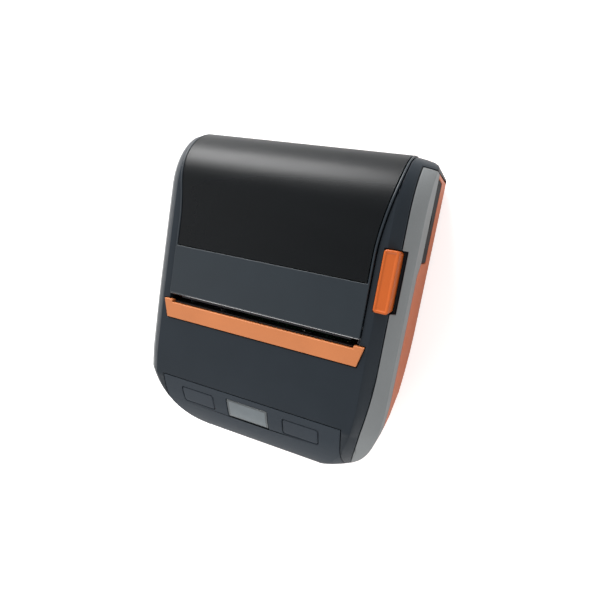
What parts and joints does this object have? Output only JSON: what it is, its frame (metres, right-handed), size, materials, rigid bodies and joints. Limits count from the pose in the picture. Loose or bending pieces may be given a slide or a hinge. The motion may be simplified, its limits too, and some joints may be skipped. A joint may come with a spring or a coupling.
{
  "type": "portable receipt printer",
  "caption": "Handheld receipt printer with a hinged paper cover, a paper bin, a geared platen, a side latch, press keys and a removable battery.",
  "frame": {"origin": "middle of the surface the printer lies on, under the middle of its bounding box", "axes": "+Z out of the front face, +Y towards the hinged end, +X towards the cover latch and the port cover"},
  "size_m": [0.114, 0.145, 0.061],
  "materials": {
    "black_plastic": "satin",
    "cover_plastic": "satin",
    "smoked_window": "polished",
    "panel_plastic": "satin",
    "key_plastic": "satin",
    "grey_plastic": "fine texture",
    "orange_plastic": "satin",
    "display_glass": "polished",
    "display_frame": "plain",
    "rubber": "matt",
    "steel": "plain",
    "blade_steel": "ground",
    "aluminium": "plain",
    "ceramic": "glazed ceramic",
    "gear_plastic": "plain",
    "frame_metal": "zinc plated",
    "motor_metal": "plain",
    "bin_plastic": "plain",
    "board_green": "solder resist",
    "switch_plastic": "plain",
    "connector_metal": "plated",
    "connector_plastic": "plain",
    "battery_plastic": "satin",
    "bush_plastic": "plain"
  },
  "bodies": {
    "body": {"front_shell": "black_plastic", "left_side_band": "grey_plastic", "right_side_band": "grey_plastic", "back_shell": "orange_plastic", "chin_panel": "panel_plastic", "display_window": "display_glass", "display_module": "display_frame", "key_board": "board_green", "power_switch": "switch_plastic", "feed_switch": "switch_plastic", "tear_bar": "orange_plastic", "tear_blade": "blade_steel", "hinge_pin": "steel", "idler_pin": "steel", "stepper_motor": "motor_metal", "mech_frame": "frame_metal", "thermal_head": "ceramic", "head_heatsink": "aluminium", "head_spring_left": "steel", "head_spring_right": "steel", "paper_bin": "bin_plastic", "paper_sensor": "connector_plastic", "latch_spring": "steel", "main_board": "board_green", "interface_board": "board_green", "usb_socket": "connector_metal", "charge_socket": "connector_plastic", "battery_contacts": "connector_plastic", "foot_front_left": "rubber", "foot_front_right": "rubber", "foot_rear_left": "rubber", "foot_rear_right": "rubber", "case_screw_front_left": "steel", "case_screw_front_right": "steel", "case_screw_rear_left": "steel", "case_screw_rear_right": "steel"},
    "cover": {"paper_cover": "cover_plastic", "cover_window": "smoked_window", "platen_bush_left": "bush_plastic", "platen_bush_right": "bush_plastic"},
    "platen": {"platen_roller": "rubber", "platen_shaft": "steel", "platen_gear": "gear_plastic"},
    "idler": {"idler_gear": "gear_plastic"},
    "motor_drive": {"motor_pinion": "gear_plastic", "motor_shaft": "steel"},
    "latch": {"latch_button": "orange_plastic"},
    "power_key": {"power_button": "key_plastic"},
    "feed_key": {"feed_button": "key_plastic"},
    "port_door": {"port_cover": "rubber"},
    "battery": {"battery_pack": "battery_plastic"},
    "battery_slider": {"battery_latch": "key_plastic"}
  },
  "joints": [
    {"name": "cover_hinge", "type": "hinge", "parent": "body", "child": "cover", "pos_m": [0, 0.0694, 0.034], "axis": [-1, 0, 0], "range_deg": [0, 90]},
    {"name": "platen_spin", "type": "hinge", "parent": "cover", "child": "platen", "pos_m": [0, 0.0053, 0.051], "axis": [1, 0, 0], "continuous": true},
    {"name": "idler_spin", "type": "hinge", "parent": "body", "child": "idler", "pos_m": [0, 0.00244, 0.04033], "axis": [1, 0, 0], "continuous": true},
    {"name": "motor_spin", "type": "hinge", "parent": "body", "child": "motor_drive", "pos_m": [0, -0.00391, 0.0346], "axis": [1, 0, 0], "continuous": true},
    {"name": "latch_slide", "type": "slide", "parent": "body", "child": "latch", "axis": [1, 0, 0], "range_m": [0, 0.0014], "stiffness_N_per_m": 600, "springref_m": -0.003},
    {"name": "power_press", "type": "slide", "parent": "body", "child": "power_key", "axis": [0, 0.4947, -0.8691], "range_m": [0, 0.0008], "stiffness_N_per_m": 800, "springref_m": -0.001},
    {"name": "feed_press", "type": "slide", "parent": "body", "child": "feed_key", "axis": [0, 0.4947, -0.8691], "range_m": [0, 0.0008], "stiffness_N_per_m": 800, "springref_m": -0.001},
    {"name": "port_cover_hinge", "type": "hinge", "parent": "body", "child": "port_door", "pos_m": [0.0564, 0.0475, 0.0206], "axis": [0, 1, 0], "range_deg": [0, 90]},
    {"name": "battery_slide", "type": "slide", "parent": "body", "child": "battery", "axis": [0, 0, -1], "range_m": [0, 0.022]},
    {"name": "battery_latch_slide", "type": "slide", "parent": "body", "child": "battery_slider", "axis": [0, 1, 0], "range_m": [0, 0.003]}
  ],
  "couplings": [
    {"joint": "idler_spin", "follows": "platen_spin", "ratio": -0.83333},
    {"joint": "motor_spin", "follows": "platen_spin", "ratio": 2}
  ]
}
